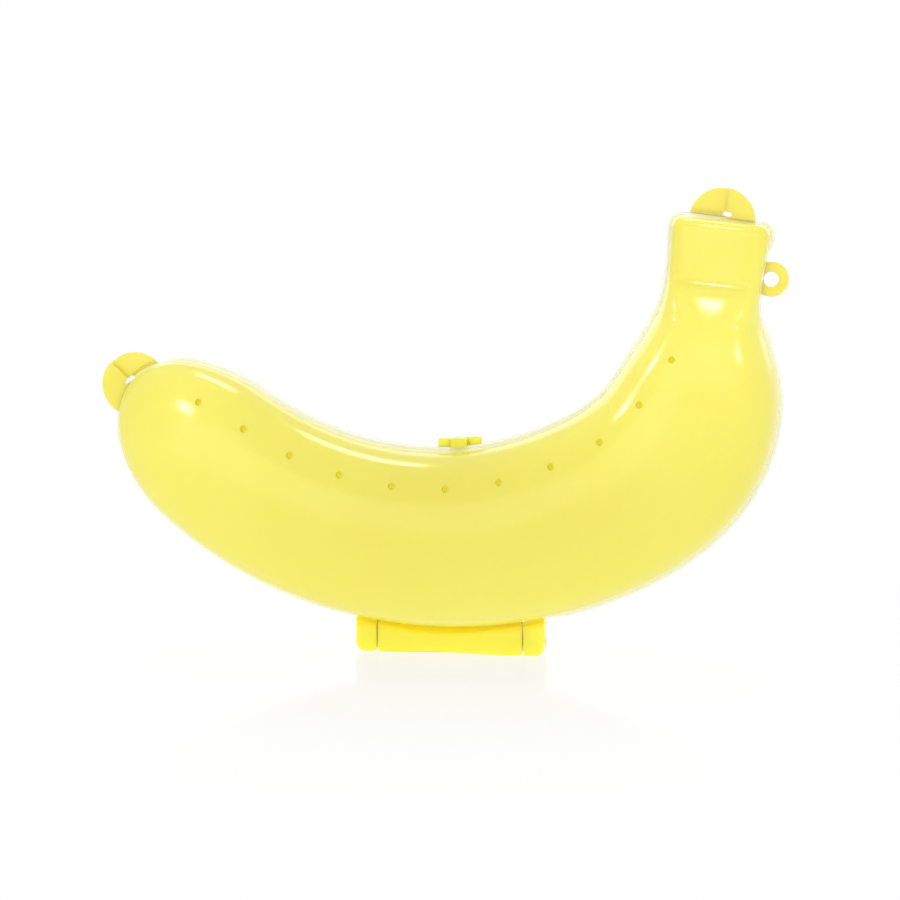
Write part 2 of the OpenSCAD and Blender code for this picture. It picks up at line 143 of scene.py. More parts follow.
def halfWidth(s):
    return smoothThrough(widths, s) / 2 * dome(s) - corner(s)


def swell(s):  # out of the stem's crease, which is softly filled
    p = form["swellPower"]
    total = 0
    for j in range(-easeSteps, easeSteps + 1):
        u = min(1, max(0, (creaseS - s + form["creaseEase"] * j / easeSteps) / form["swellLen"]))
        total += (1 - (1 - u) ** p) ** (1 / p)
    return total / (2 * easeSteps + 1)


def halfDepth(s):
    grow = math.sin(math.pi / 2 * min(1, s / bellyS))
    body = (form["tipDepth"] + (form["caseDepth"] - form["tipDepth"]) * grow) / 2
    stem = form["stemDepth"] / 2
    return (stem + (body - stem) * swell(s)) * dome(s) - corner(s)


def squareness(s):
    share = min(1, max(0, 1 + (s - creaseS) / form["squareEase"]))
    return form["bodySquare"] + (form["stemSquare"] - form["bodySquare"]) * share


def lean(s):  # how the outline leans away from the spine
    step = 0.01
    return math.atan((halfWidth(s + step) - halfWidth(s - step)) / (2 * step))


def edge(s, side, out=0):  # a point of the outline, moved outwards
    a = lean(s)
    return (spine(s) + side * halfWidth(s) * normal(s)
            + out * (side * math.cos(a) * normal(s) - math.sin(a) * tangent(s)))


# the moulded wall and its rim
rim = {
    "wall": 1.6, "flangeW": 1.2, "flangeT": 1.2,
    "flangeRest": 0.12, "flangeFade": 0.28, "flangeClear": 1,
    "lipH": 1.2, "lipSetback": 0.8, "lipClear": 0.15, "gap": 0.2,
    "round": 0.3, "roundsAcross": 2.2, "partingRound": 0.1, "fillet": 0.9,
    "roundSteps": 3, "filletSteps": 6,
    "crownSteps": 76, "innerSteps": 44,
}
rimY = rim["gap"] / 2

# fittings seated on the rim
hinge = {
    "knuckleR": 3.5, "length": 54, "endLen": 6.3, "gap": 0.5, "swingGap": 0.35, "bellyRoom": 0.15,
    "webT": 2.4, "cornerR": 2.6, "gapCornerR": 0.8, "pinD": 2.4, "pinPlay": 0.05, "pinSet": 0.8,
    "lift": 0.03, "sink": 0.7, "soften": 0.4, "pinSoften": 0.3, "overrun": 1,
    "webSteps": 24, "turnSteps": 24, "turnSides": 128, "roundSteps": 6, "boreSides": 64,
}
tab = {
    "r": 9.2, "thick": 1.9, "lap": 0.4, "tipInset": 1.2, "stemInset": 0.3, "shift": 1, "stemShift": 1.2,
    "round": 0.5, "grooveW": 1, "grooveD": 0.7, "reliefLen": 2.6, "reliefW": 1.2, "reliefSides": 48,
}
loop = {
    "holeD": 4.1, "wall": 2.8, "thick": 2.5, "back": 14.4, "skin": 0.08, "seat": 0.03, "round": 0.8,
    "bare": 5,
}
loopR = loop["holeD"] / 2 + loop["wall"]
loopS = endS - loop["back"]
loopAt = edge(loopS, -1, rim["flangeRest"] + loop["seat"] + loop["skin"] + loop["holeD"] / 2)
tipTabAt = spine(0) + tab["tipInset"] * tangent(0) - tab["shift"] * normal(0)


def flange(s, side):  # it fades out behind the tip tab, along the hinge and beside the key loop
    p = edge(s, side)
    clear = (p - tipTabAt).length - tab["r"]
    if side < 0:
        besideLoop = max(loopS - s - loop["bare"], s - loopS) - loopR
        clear = min(clear, abs(p.x) - hinge["length"] / 2, besideLoop)
    return min(rim["flangeW"], max(rim["flangeRest"], rim["flangeFade"] * (clear - rim["flangeClear"])))


def arc(cx, cy, r, a0, a1, steps):
    turns = [math.radians(a0 + (a1 - a0) * i / steps) for i in range(steps + 1)]
    return [(cx + r * math.cos(t), cy + r * math.sin(t)) for t in turns]


def flangeProfile(f):  # (out, height) from the rim face up to the wall
    top = rimY + rim["flangeT"]
    r = min(rim["round"], f / rim["roundsAcross"])
    fillet = min(rim["fillet"], f - r)
    low = min(rim["partingRound"], r)
    points = arc(f - low, rimY + low, low, -90, 0, rim["roundSteps"])
    points += arc(f - r, top - r, r, 0, 90, rim["roundSteps"])
    points += arc(fillet, top + fillet, fillet, 270, 180, rim["filletSteps"])[1:-1]
    return points, top, top + fillet


def bow(a, b, n, low, steps):  # superellipse from one rim over the crown to the other
    start = math.asin((min(low, b / 2) / b) ** (n / 2))
    points = []
    for i in range(steps + 1):
        t = start + (math.pi - 2 * start) * i / steps
        c = math.cos(t)
        points.append((a * math.copysign(abs(c) ** (2 / n), c), b * math.sin(t) ** (2 / n)))
    return points


def lift(p, y):
    return (p.x * mm, y * mm, p.y * mm)


def shellRing(s, stepAt, stepY):  # one closed section: flange, crown, flange, rim step, inner wall
    w, d, n = halfWidth(s), halfDepth(s), squareness(s)
    ring = []
    hollow, top, wallFrom = flangeProfile(flange(s, 1))
    ring += [lift(edge(s, 1, out), y) for out, y in hollow]
    ring += [lift(spine(s) + x * normal(s), max(top, y))
             for x, y in bow(w, d, n, wallFrom, rim["crownSteps"])]
    curved, top, wallFrom = flangeProfile(flange(s, -1))
    ring += [lift(edge(s, -1, out), y) for out, y in reversed(curved)]
    outerCount = len(ring)
    inset = rim["wall"] * math.cos(lean(s))
    centre = spine(s) + rim["wall"] * math.sin(lean(s)) * tangent(s)
    low = max(stepY, 0) + rimY
    ring += [lift(edge(s, -1, -stepAt), rimY), lift(edge(s, -1, -stepAt), stepY),
             lift(edge(s, -1, -rim["wall"]), stepY)]
    ring += [lift(centre + x * normal(s), max(low, y))
             for x, y in bow(inset - w, d - inset, n, low, rim["innerSteps"])]
    ring += [lift(edge(s, 1, -rim["wall"]), stepY), lift(edge(s, 1, -stepAt), stepY),
             lift(edge(s, 1, -stepAt), rimY)]
    return ring, outerCount


# stations of the loft, close together where the form turns fast
loft = {"dome": 30, "body": 80, "swell": 26, "stem": 12, "corner": 9,
        "pole": 1.5, "swellFine": 14, "finePower": 1.8}
stations = []
for i in range(loft["dome"] + 1):
    turn = math.radians(loft["pole"] + (90 - loft["pole"]) * i / loft["dome"])
    stations.append(form["tipDome"] * (1 - math.cos(turn)))
bodyRun = creaseS - loft["swellFine"] - form["tipDome"]
stations += [form["tipDome"] + bodyRun * i / loft["body"] for i in range(1, loft["body"] + 1)]
stations += [creaseS - loft["swellFine"] * (1 - i / loft["swell"]) ** loft["finePower"]
             for i in range(1, loft["swell"] + 1)]
stemRun = form["stemLen"] - form["stemCornerR"]
stations += [creaseS + stemRun * i / loft["stem"] for i in range(1, loft["stem"] + 1)]
for i in range(1, loft["corner"] + 1):
    turn = math.radians((90 - loft["pole"]) * i / loft["corner"])
    stations.append(endS - form["stemCornerR"] * (1 - math.sin(turn)))


# hand tools
fine = {"merge": 1e-6, "sliver": 1e-7, "seam": 1e-7, "same": 0.001}  # metres, the last in millimetres
through = 20  # half the length of a cut that passes right through, in millimetres


def deselect():
    if bpy.context.object and bpy.context.object.mode != "OBJECT":
        bpy.ops.object.mode_set(mode="OBJECT")
    bpy.ops.object.select_all(action="DESELECT")


def pick(piece):
    deselect()
    piece.select_set(True)
    bpy.context.view_layer.objects.active = piece
    return piece


def settle(piece, name):  # place and turn go into the mesh
    pick(piece)
    bpy.ops.object.transform_apply(location=True, rotation=True, scale=True)
    piece.name = piece.data.name = name
    return piece


def applied(piece, kind, **settings):
    pick(piece)
    modifier = piece.modifiers.new(kind.title(), kind)
    for key, value in settings.items():
        setattr(modifier, key, value)
    bpy.ops.object.modifier_apply(modifier=modifier.name)


def combine(piece, tool, operation):
    applied(piece, "BOOLEAN", operation=operation, solver="EXACT", object=tool)
    bpy.data.objects.remove(tool)
    bpy.ops.object.mode_set(mode="EDIT")
    bpy.ops.mesh.select_all(action="SELECT")
    bpy.ops.mesh.remove_doubles(threshold=fine["merge"])
    bpy.ops.mesh.dissolve_degenerate(threshold=fine["sliver"])
    bpy.ops.object.mode_set(mode="OBJECT")
    return piece


def joined(pieces):  # several separate solids as one tool
    pick(pieces[0])
    for piece in pieces:
        piece.select_set(True)
    bpy.ops.object.join()
    return pieces[0]


def soften(piece, width, segments=3, angle=40):
    applied(piece, "BEVEL", width=width * mm, segments=segments, limit_method="ANGLE",
            angle_limit=math.radians(angle))


def shade(piece, angle=32):
    pick(piece)
    bpy.ops.object.shade_smooth_by_angle(angle=math.radians(angle))


def roundEdges(piece, width, segments, wanted):  # bevels the edges whose two ends pass the test
    pick(piece)
    bpy.ops.object.mode_set(mode="EDIT")
    bpy.ops.mesh.select_mode(type="EDGE")
    bpy.ops.mesh.select_all(action="DESELECT")
    bpy.ops.object.mode_set(mode="OBJECT")
    points = piece.data.vertices
    for e in piece.data.edges:
        e.select = wanted(*(points[i].co / mm for i in e.vertices))
    bpy.ops.object.mode_set(mode="EDIT")
    bpy.ops.mesh.bevel(offset=width * mm, segments=segments, affect="EDGES")
    bpy.ops.object.mode_set(mode="OBJECT")


def near(a, b):
    return abs(a - b) < fine["same"]


def addBlock(low, high):  # a box between two corners, in millimetres
    deselect()
    low, high = Vector(low), Vector(high)
    bpy.ops.mesh.primitive_cube_add(size=1, location=(low + high) / 2 * mm)
    block = bpy.context.object
    block.dimensions = (high - low) * mm
    return settle(block, "block")


def addRod(start, end, r, sides=96):  # a cylinder between two points, in millimetres
    deselect()
    start, end = Vector(start), Vector(end)
    run = end - start
    bpy.ops.mesh.primitive_cylinder_add(
        vertices=sides, radius=r * mm, depth=run.length * mm, location=(start + end) / 2 * mm,
        rotation=run.to_track_quat("Z", "Y").to_euler())
    return settle(bpy.context.object, "rod")


def addDisc(r, y0, y1, roundR, sides=128, segments=4):  # a disc across Y with rounded rims
    disc = addRod((0, y0, 0), (0, y1, 0), r, sides)
    roundEdges(disc, roundR, segments, lambda a, b: near(a.y, b.y))
    return disc


def placed(piece, s, across=0):  # from the spine's own axes to a station of it
    p = spine(s) + across * normal(s)
    piece.location = (p.x * mm, 0, p.y * mm)
    piece.rotation_euler = (0, -heading(s), 0)
    return settle(piece, piece.name)


def outlineBlock(reach, y0, y1):  # the closed case's outline as a plate; reach(s, side) is how far out
    ring = [edge(s, 1, reach(s, 1)) for s in stations]
    ring += [edge(s, -1, reach(s, -1)) for s in reversed(stations)]
    deselect()
    bpy.ops.mesh.primitive_circle_add(vertices=len(ring), radius=1, fill_type="NGON")
    plate = bpy.context.object
    plate.data.vertices.foreach_set("co", [c for p in ring for c in lift(p, y0)])
    bpy.ops.object.mode_set(mode="EDIT")
    bpy.ops.mesh.select_all(action="SELECT")
    bpy.ops.mesh.extrude_region_move(TRANSFORM_OT_translate={"value": (0, (y1 - y0) * mm, 0)})
    bpy.ops.mesh.select_all(action="SELECT")
    bpy.ops.mesh.normals_make_consistent(inside=False)
    return settle(plate, "outline")


sink = 0.4  # how far a fitting reaches into the shell that carries it


def caseCut(piece):  # trims a fitting to the case
    cutter = outlineBlock(lambda s, side: max(0, flange(s, side) - sink), -through, through)
    return combine(piece, cutter, "DIFFERENCE")


# plastics
plastic = {
    "body": (0.97, 0.83, 0.14), "bodyDeep": (0.95, 0.80, 0.125),
    # the rim colour and rim glow are painted light on the thin rim
    "rim": (1, 0.97, 0.6), "rimFrom": 1.4, "rimTo": 4.5, "rimGlow": 0.12,
    # the seam colour is painted shade in the narrow gap where the rims meet
    "seam": (0.6, 0.58, 0.4), "seamFrom": 0.3, "seamTo": 0.55,
    # the tab colour is painted shade: the shell plastic made darker to offset the light the thin tabs
    # let through
    "tab": (0.85, 0.735, 0.125), "tabDeep": (0.83, 0.705, 0.11),
    # the hinge's seep is a painted glow that stands in for light through the thick plastic
    "hinge": (1, 0.85, 0.055), "hingeDeep": (1, 0.83, 0.045), "hingeSeep": 0.045,
    # the hinge's band colour under the belly is painted shade, where the belly shades the hinge
    "hingeBellyShade": (1, 0.76, 0.001), "bellyArcR": 129, "bellyShadeFrom": 2, "bellyShadeTo": 3.2,
    "latch": (1, 0.88, 0.06), "latchDeep": (1, 0.85, 0.045),
    # seep is a painted glow that stands in for light coming through the plastic
    "seep": (0.9, 1, 0.16), "seepLevel": 0.17, "seepReach": 60, "seepOpen": 0.5, "seepSamples": 8,
    "driftScale": 28, "driftRange": (0.35, 0.65),
    "polish": 0.14, "polishScale": 160, "polishRange": (0.3, 0.7), "polishSpread": (0.85, 1.2),
    "ripple": 0.04, "rippleScale": 420, "rippleDepth": 0.4,
    "ior": 1.49, "scatter": 0.7, "scatterRadius": (1, 0.9, 0.4), "scatterDepth": 0.006,  # in metres
}


def lemonPlastic(name, pale, deep, rimTint=None, bellyShadeTint=None, seep=0, closedOnly=False):
    material = bpy.data.materials.new(name)
    material.use_nodes = True
    nodes, links = material.node_tree.nodes, material.node_tree.links
    shader = nodes["Principled BSDF"]
    place = nodes.new("ShaderNodeTexCoord").outputs["Object"]

    def noise(scale, detail=2):
        texture = nodes.new("ShaderNodeTexNoise")
        texture.inputs["Scale"].default_value = scale
        texture.inputs["Detail"].default_value = detail
        links.new(place, texture.inputs["Vector"])
        return texture.outputs["Fac"]

    def ranged(value, fromMin, fromMax, toMin, toMax):
        step = nodes.new("ShaderNodeMapRange")
        limits = {"From Min": fromMin, "From Max": fromMax, "To Min": toMin, "To Max": toMax}
        for key, number in limits.items():
            step.inputs[key].default_value = number
        links.new(value, step.inputs["Value"])
        return step.outputs["Result"]

    def mixed(share, a, b):
        mix = nodes.new("ShaderNodeMix")
        mix.data_type = "RGBA"
        links.new(share, mix.inputs["Factor"])
        for end, colour in (("A", a), ("B", b)):
            if isinstance(colour, tuple):
                mix.inputs[end].default_value = (*colour, 1)
            else:
                links.new(colour, mix.inputs[end])
        return mix.outputs["Result"]

    drift = ranged(noise(plastic["driftScale"]), *plastic["driftRange"], 0, 1)
    tint = mixed(drift, deep, pale)  # slow drift of the pigment
    shader.inputs["Emission Color"].default_value = (*plastic["seep"], 1)
    shader.inputs["Emission Strength"].default_value = seep
    if closedOnly:  # painted glow: the inside glows faintly for light through the wall, and only while the case is shut
        shut = nodes.new("ShaderNodeAmbientOcclusion")
        shut.samples = plastic["seepSamples"]
        shut.inputs["Distance"].default_value = plastic["seepReach"] * mm
        glow = ranged(shut.outputs["AO"], 0, plastic["seepOpen"], seep, 0)
        links.new(glow, shader.inputs["Emission Strength"])
    if rimTint:  # painted light: the thin rim is painted paler and given a faint glow, standing in for the light it gathers
        split = nodes.new("ShaderNodeSeparateXYZ")
        links.new(place, split.inputs["Vector"])
        absolute = nodes.new("ShaderNodeMath")
        absolute.operation = "ABSOLUTE"
        links.new(split.outputs["Y"], absolute.inputs[0])
        height = absolute.outputs["Value"]  # above the parting plane
        band = ranged(height, plastic["rimFrom"] * mm, plastic["rimTo"] * mm, 1, 0)
        seam = ranged(height, plastic["seamFrom"] * mm, plastic["seamTo"] * mm, 1, 0)
        tint = mixed(seam, mixed(band, tint, rimTint), plastic["seam"])  # painted shade where the rims meet
        links.new(mixed(seam, rimTint, (0, 0, 0)), shader.inputs["Emission Color"])
        links.new(ranged(band, 0, 1, 0, plastic["rimGlow"]), shader.inputs["Emission Strength"])
    if bellyShadeTint:  # painted shade: deeper and darker in a band just under the belly, where the belly shades the hinge
        r = plastic["bellyArcR"]
        reach = nodes.new("ShaderNodeVectorMath")
        reach.operation = "DISTANCE"
        centre = Vector((-form["hingeShift"], form["bellyZ"] + r))
        reach.inputs[1].default_value = lift(centre, 0)
        links.new(place, reach.inputs[0])
        start, end = (r + plastic["bellyShadeFrom"]) * mm, (r + plastic["bellyShadeTo"]) * mm
        tint = mixed(ranged(reach.outputs["Value"], start, end, 1, 0), tint, bellyShadeTint)
    links.new(tint, shader.inputs["Base Color"])
    glossiest, dullest = (plastic["polish"] * share for share in plastic["polishSpread"])
    gloss = ranged(noise(plastic["polishScale"], 3), *plastic["polishRange"], glossiest, dullest)
    links.new(gloss, shader.inputs["Roughness"])
    ripple = nodes.new("ShaderNodeBump")  # faint unevenness of the mould
    ripple.inputs["Strength"].default_value = plastic["ripple"]
    ripple.inputs["Distance"].default_value = plastic["rippleDepth"] * mm
    links.new(noise(plastic["rippleScale"]), ripple.inputs["Height"])
    links.new(ripple.outputs["Normal"], shader.inputs["Normal"])
    shader.inputs["IOR"].default_value = plastic["ior"]
    shader.inputs["Subsurface Weight"].default_value = plastic["scatter"]
    shader.inputs["Subsurface Radius"].default_value = plastic["scatterRadius"]
    shader.inputs["Subsurface Scale"].default_value = plastic["scatterDepth"]
    return material


shellPlastic = lemonPlastic("lemon shell", plastic["body"], plastic["bodyDeep"], plastic["rim"])
insidePlastic = lemonPlastic("lemon inside", plastic["body"], plastic["bodyDeep"],
                             seep=plastic["seepLevel"], closedOnly=True)
tabPlastic = lemonPlastic("lemon tab", plastic["tab"], plastic["tabDeep"])
hingePlastic = lemonPlastic("lemon hinge", plastic["hinge"], plastic["hingeDeep"],
                            bellyShadeTint=plastic["hingeBellyShade"], seep=plastic["hingeSeep"])
latchPlastic = lemonPlastic("lemon latch", plastic["latch"], plastic["latchDeep"])


def finishPiece(piece, node, body, slotName, *materials):
    shade(piece)
    piece.name = piece.data.name = node + "_finish"
    for i, material in enumerate(materials):
        if i < len(piece.data.materials):
            piece.data.materials[i] = material
        else:
            piece.data.materials.append(material)
    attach(piece, body)
    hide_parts(node)


# the two half shells
vent = {"count": 11, "d": 1.8, "inset": 8.3, "drift": 1.8, "driftPower": 3, "first": 17.5, "last": 34,
        "rowSteps": 240, "sides": 32}


def ventPlaces():  # evenly spaced along a row beside the hollow edge
    row = []
    for i in range(vent["rowSteps"] + 1):
        u = i / vent["rowSteps"]
        s = vent["first"] + (endS - vent["last"] - vent["first"]) * u
        row.append(edge(s, 1, -vent["inset"] - vent["drift"] * u ** vent["driftPower"]))
    walked = [0]
    for a, b in zip(row, row[1:]):
        walked.append(walked[-1] + (b - a).length)
    xs = [(d, p.x) for d, p in zip(walked, row)]
    zs = [(d, p.y) for d, p in zip(walked, row)]
    marks = [walked[-1] * i / (vent["count"] - 1) for i in range(vent["count"])]
    return [(lookUp(xs, d), lookUp(zs, d)) for d in marks]


def selectPoints(piece, wanted):
    bpy.ops.object.mode_set(mode="OBJECT")
    for part in (piece.data.polygons, piece.data.edges, piece.data.vertices):
        part.foreach_set("select", [False] * len(part))
    for i in wanted:
        piece.data.vertices[i].select = True
    bpy.ops.object.mode_set(mode="EDIT")


def halfShell(stepAt, stepY, side):
    rings = []
    for s in stations:
        ring, outerCount = shellRing(s, stepAt, stepY)
        rings.append(ring)
    around, along = len(rings[0]), len(rings)
    deselect()
    bpy.ops.mesh.primitive_grid_add(x_subdivisions=around, y_subdivisions=along - 1, size=1)
    piece = bpy.context.object
    flat = [c for ring in rings for p in ring + ring[:1] for c in (p[0], p[1] * side, p[2])]
    piece.data.vertices.foreach_set("co", flat)
    for plasticSlot in (shellPlastic, insidePlastic):
        piece.data.materials.append(plasticSlot)
    innerWall = range(outerCount + 2, around - 2)
    columns = [i % around for i in range(around * (along - 1))]
    piece.data.polygons.foreach_set("material_index", [int(c in innerWall) for c in columns])
    bpy.ops.object.mode_set(mode="EDIT")
    bpy.ops.mesh.select_mode(type="VERT")
    for row in (0, along - 1):  # close both ends
        first = row * (around + 1)
        outer = range(first, first + outerCount)
        inner = range(first + outerCount, first + around)
        strip = (outer[0], outer[-1], inner[0], inner[-1])
        lipEnd = (inner[0], inner[1], inner[-2], inner[-1])
        stepEnd = (inner[1], inner[2], inner[-3], inner[-2])
        for face in (outer, inner[2:-2], stepEnd, lipEnd, strip):
            selectPoints(piece, face)
            bpy.ops.mesh.edge_face_add()
    bpy.ops.mesh.select_all(action="SELECT")
    bpy.ops.mesh.remove_doubles(threshold=fine["seam"])
    bpy.ops.mesh.normals_make_consistent(inside=False)
    settle(piece, "shell")
    drills = [addRod((x, side, z), (x, side * form["caseDepth"], z), vent["d"] / 2, vent["sides"])
              for x, z in ventPlaces()]
    return combine(piece, joined(drills), "DIFFERENCE")


axisZ = hinge["knuckleR"]
middleHalf = hinge["length"] / 2 - hinge["endLen"]
reliefHalf = middleHalf + hinge["gap"]
bellyLine = sorted((p.x, p.y) for p in (edge(s, -1) for s in stations if s < creaseS))


def turnedRound(x0, x1, room):  # spun about the hinge's axis, following the belly less some room
    steps = hinge["turnSteps"]
    line = [(x0, 0)]
    for i in range(steps + 1):
        x = x0 + (x1 - x0) * i / steps
        line.append((x, lookUp(bellyLine, x) - axisZ - room))
    line.append((x1, 0))
    deselect()
    bpy.ops.mesh.primitive_circle_add(vertices=len(line), radius=1)
    piece = bpy.context.object
    piece.data.vertices.foreach_set("co", [c * mm for x, r in line for c in (x, 0, axisZ + r)])
    bpy.ops.object.mode_set(mode="EDIT")
    bpy.ops.mesh.select_all(action="SELECT")
    bpy.ops.mesh.spin(steps=hinge["turnSides"], angle=2 * math.pi,
                      center=(0, 0, axisZ * mm), axis=(1, 0, 0))
    bpy.ops.mesh.select_all(action="SELECT")
    bpy.ops.mesh.remove_doubles(threshold=fine["seam"])
    bpy.ops.mesh.normals_make_consistent(inside=False)
    return settle(piece, "round")


backShell = halfShell(rim["lipSetback"] + rim["lipClear"], -rim["lipH"], 1)
finishPiece(backShell, "back_shell", "back", "shell_plastic", shellPlastic, insidePlastic)
frontShell = halfShell(rim["lipSetback"], rim["lipH"] + rim["lipClear"] + rim["gap"], -1)
relief = turnedRound(-reliefHalf, reliefHalf, hinge["bellyRoom"] - hinge["swingGap"])
combine(frontShell, relief, "DIFFERENCE")
finishPiece(frontShell, "front_shell", "front", "shell_plastic", shellPlastic, insidePlastic)
print("shells lofted")


# hinge under the belly
def hingeBlock(x0, x1, z0, room, round0, round1):  # a bar turned to the round it swings in
    half = axisZ - z0
    block = addBlock((x0, -half, z0), (x1, half, form["bellyZ"] + form["middleWidth"] / 2))
    for x, r in ((x0, round0), (x1, round1)):
        roundEdges(block, r, hinge["roundSteps"],
                   lambda a, b: all(near(end.z, z0) and near(end.x, x) for end in (a, b)))
    bellyRound = turnedRound(x0 - hinge["overrun"], x1 + hinge["overrun"], room)
    return combine(block, bellyRound, "INTERSECT")


def hingeWeb(x0, x1, y0, y1):  # from the axis up into the belly, its top following the belly's curve
    deselect()
    bpy.ops.mesh.primitive_grid_add(x_subdivisions=hinge["webSteps"], y_subdivisions=1, size=1)
    web = bpy.context.object
    for v in web.data.vertices:
        x = x0 + (x1 - x0) * (v.co.x + 0.5)
        z = lookUp(bellyLine, x) + hinge["sink"] if v.co.y > 0 else axisZ
        v.co = (x * mm, y0 * mm, z * mm)
    bpy.ops.object.mode_set(mode="EDIT")
    bpy.ops.mesh.select_all(action="SELECT")
    bpy.ops.mesh.extrude_region_move(TRANSFORM_OT_translate={"value": (0, (y1 - y0) * mm, 0)})
    bpy.ops.mesh.select_all(action="SELECT")
    bpy.ops.mesh.normals_make_consistent(inside=False)
    return settle(web, "web")


def knuckle(x0, x1, z0, room, rounds, side, play):  # side is 1 at the back
    piece = hingeBlock(x0, x1, z0, room, *rounds)
    soften(piece, hinge["soften"])
    web = hingeWeb(x0 + hinge["lift"], x1 - hinge["lift"], side * rimY, side * (rimY + hinge["webT"]))
    combine(piece, web, "UNION")
    bore = addRod((x0 - hinge["overrun"], 0, axisZ), (x1 + hinge["overrun"], 0, axisZ),
                  hinge["pinD"] / 2 + play, hinge["boreSides"])
    return combine(piece, bore, "DIFFERENCE")


small, large = hinge["gapCornerR"], hinge["cornerR"]
middle = knuckle(-middleHalf, middleHalf, 0, hinge["bellyRoom"], (small, small), 1, 0)
finishPiece(middle, "back_hinge_knuckle", "back", "hinge_plastic", hingePlastic)
x0, x1 = middleHalf + hinge["gap"], hinge["length"] / 2
endRoom = hinge["swingGap"] + rim["flangeRest"]
left = knuckle(-x1, -x0, hinge["lift"], endRoom, (large, small), -1, hinge["pinPlay"])
finishPiece(left, "front_hinge_knuckle_left", "front", "hinge_plastic", hingePlastic)
right = knuckle(x0, x1, hinge["lift"], endRoom, (small, large), -1, hinge["pinPlay"])
finishPiece(right, "front_hinge_knuckle_right", "front", "hinge_plastic", hingePlastic)
pinEnd = hinge["length"] / 2 - hinge["pinSet"]
pin = addRod((-pinEnd, 0, axisZ), (pinEnd, 0, axisZ), hinge["pinD"] / 2, hinge["boreSides"])
soften(pin, hinge["pinSoften"])
finishPiece(pin, "hinge_pin", "back", "hinge_plastic", hingePlastic)
print("hinge made")


# split finger tabs at the tip and the stem
def addSlot(length, width, depth):  # a round-ended slot across Y, along Z
    run = (length - width) / 2
    slot = addBlock((-width / 2, -depth, -run), (width / 2, depth, run))
    for z in (-run, run):
        combine(slot, addRod((0, -depth, z), (0, depth, z), width / 2, tab["reliefSides"]), "UNION")
    return slot


def halfTab(s, outward, inset, shift, side):  # one part of the split disc; side is 1 at the back
    y0 = rimY if side > 0 else -rimY - tab["thick"]
    r = tab["r"]
    piece = addDisc(r, y0, y0 + tab["thick"], tab["round"])
    piece.location = (-outward * inset * mm, 0, shift * mm)
    settle(piece, "tab")
    lap = -side * tab["lap"] / 2
    far = -side * 2 * r
    away = addBlock((-2 * r, -through, min(lap, far)), (2 * r, through, max(lap, far)))
    combine(piece, away, "DIFFERENCE")
    slot = addSlot(tab["reliefLen"], tab["reliefW"], 2 * tab["thick"])
    root = flange(max(s, stations[0]), 1)
    slot.location.x = outward * (root + tab["reliefW"] / 2) * mm
    combine(piece, settle(slot, "slot"), "DIFFERENCE")
    caseCut(placed(piece, s, -tab["shift"]))
    if side > 0:
        groove = outlineBlock(lambda at, rimSide: flange(at, rimSide) + tab["grooveW"],
                              0, rimY + tab["grooveD"])
        combine(piece, groove, "DIFFERENCE")
    return piece


for half, side in (("back", 1), ("front", -1)):
    piece = halfTab(0, -1, tab["tipInset"], 0, side)
    finishPiece(piece, half + "_tip_tab", half, "shell_plastic", tabPlastic)
    piece = halfTab(endS, 1, tab["stemInset"], tab["stemShift"], side)
    finishPiece(piece, half + "_stem_tab", half, "shell_plastic", tabPlastic)
print("tabs made")

# key loop on the stem
ring = addDisc(loopR, rimY, rimY + loop["thick"], loop["round"])
combine(ring, addRod((0, -through, 0), (0, through, 0), loop["holeD"] / 2), "DIFFERENCE")
ring.location = lift(loopAt, 0)
caseCut(settle(ring, "ring"))
finishPiece(ring, "key_loop", "back", "shell_plastic", tabPlastic)
print("key loop made")

# snap latch in the hollow
latch = {
    "along": 7, "keeperW": 12.3, "height": 2.4, "tongueW": 4.6, "tongueT": 0.9, "room": 0.3, "bar": 1.6,
    "barbLen": 1, "barbDrop": 0.7, "soften": 0.5, "tongueSoften": 0.25,
}
latchS = bellyS + latch["along"]
latchTop = rim["flangeW"] + latch["height"]
barFront = rimY + hinge["swingGap"]
barTop = latchTop - latch["tongueT"] - hinge["swingGap"]
barbFront = barFront + latch["bar"] + hinge["swingGap"]
tongueRoot = -rimY - hinge["swingGap"]
keeperBack = rimY + latch["bar"] + 2 * hinge["swingGap"]
low = -rim["flangeW"]
tongueHalf, keeperHalf = latch["tongueW"] / 2, latch["keeperW"] / 2


def latchBlock(low, high):
    block = addBlock(low, high)
    soften(block, latch["soften"])
    return block


def onLatch(piece):
    return caseCut(placed(piece, latchS, halfWidth(latchS)))


barHalf = keeperHalf - latch["soften"]
cheekFrom = tongueHalf + latch["room"]
keeper = addBlock((-barHalf, barFront, low), (barHalf, barFront + latch["bar"], barTop))
for start, end in ((-keeperHalf, -cheekFrom), (cheekFrom, keeperHalf)):  # a cheek on each side
    combine(keeper, latchBlock((start, rimY, low), (end, keeperBack, latchTop)), "UNION")
finishPiece(onLatch(keeper), "back_latch_keeper", "back", "hinge_plastic", latchPlastic)
boss = latchBlock((-tongueHalf, tongueRoot - latch["bar"], low), (tongueHalf, tongueRoot, latchTop))
finishPiece(onLatch(boss), "front_latch_boss", "front", "hinge_plastic", latchPlastic)
tongue = addBlock((-tongueHalf, tongueRoot + hinge["swingGap"] / 2, latchTop - latch["tongueT"]),
                  (tongueHalf, barbFront + latch["barbLen"], latchTop))
barb = addBlock((-tongueHalf, barbFront, latchTop - latch["tongueT"] - latch["barbDrop"]),
                (tongueHalf, barbFront + latch["barbLen"], latchTop - latch["tongueT"] / 2))
combine(tongue, barb, "UNION")
soften(tongue, latch["tongueSoften"])
placed(tongue, latchS, halfWidth(latchS))
finishPiece(tongue, "latch_tongue", "latch", "hinge_plastic", latchPlastic)
print("latch made")

# camera at the photograph's angle
view = {"azimuth": 9, "elevation": 7, "distance": 650, "aim": (-0.4, 0, 58), "lens": 91.8}


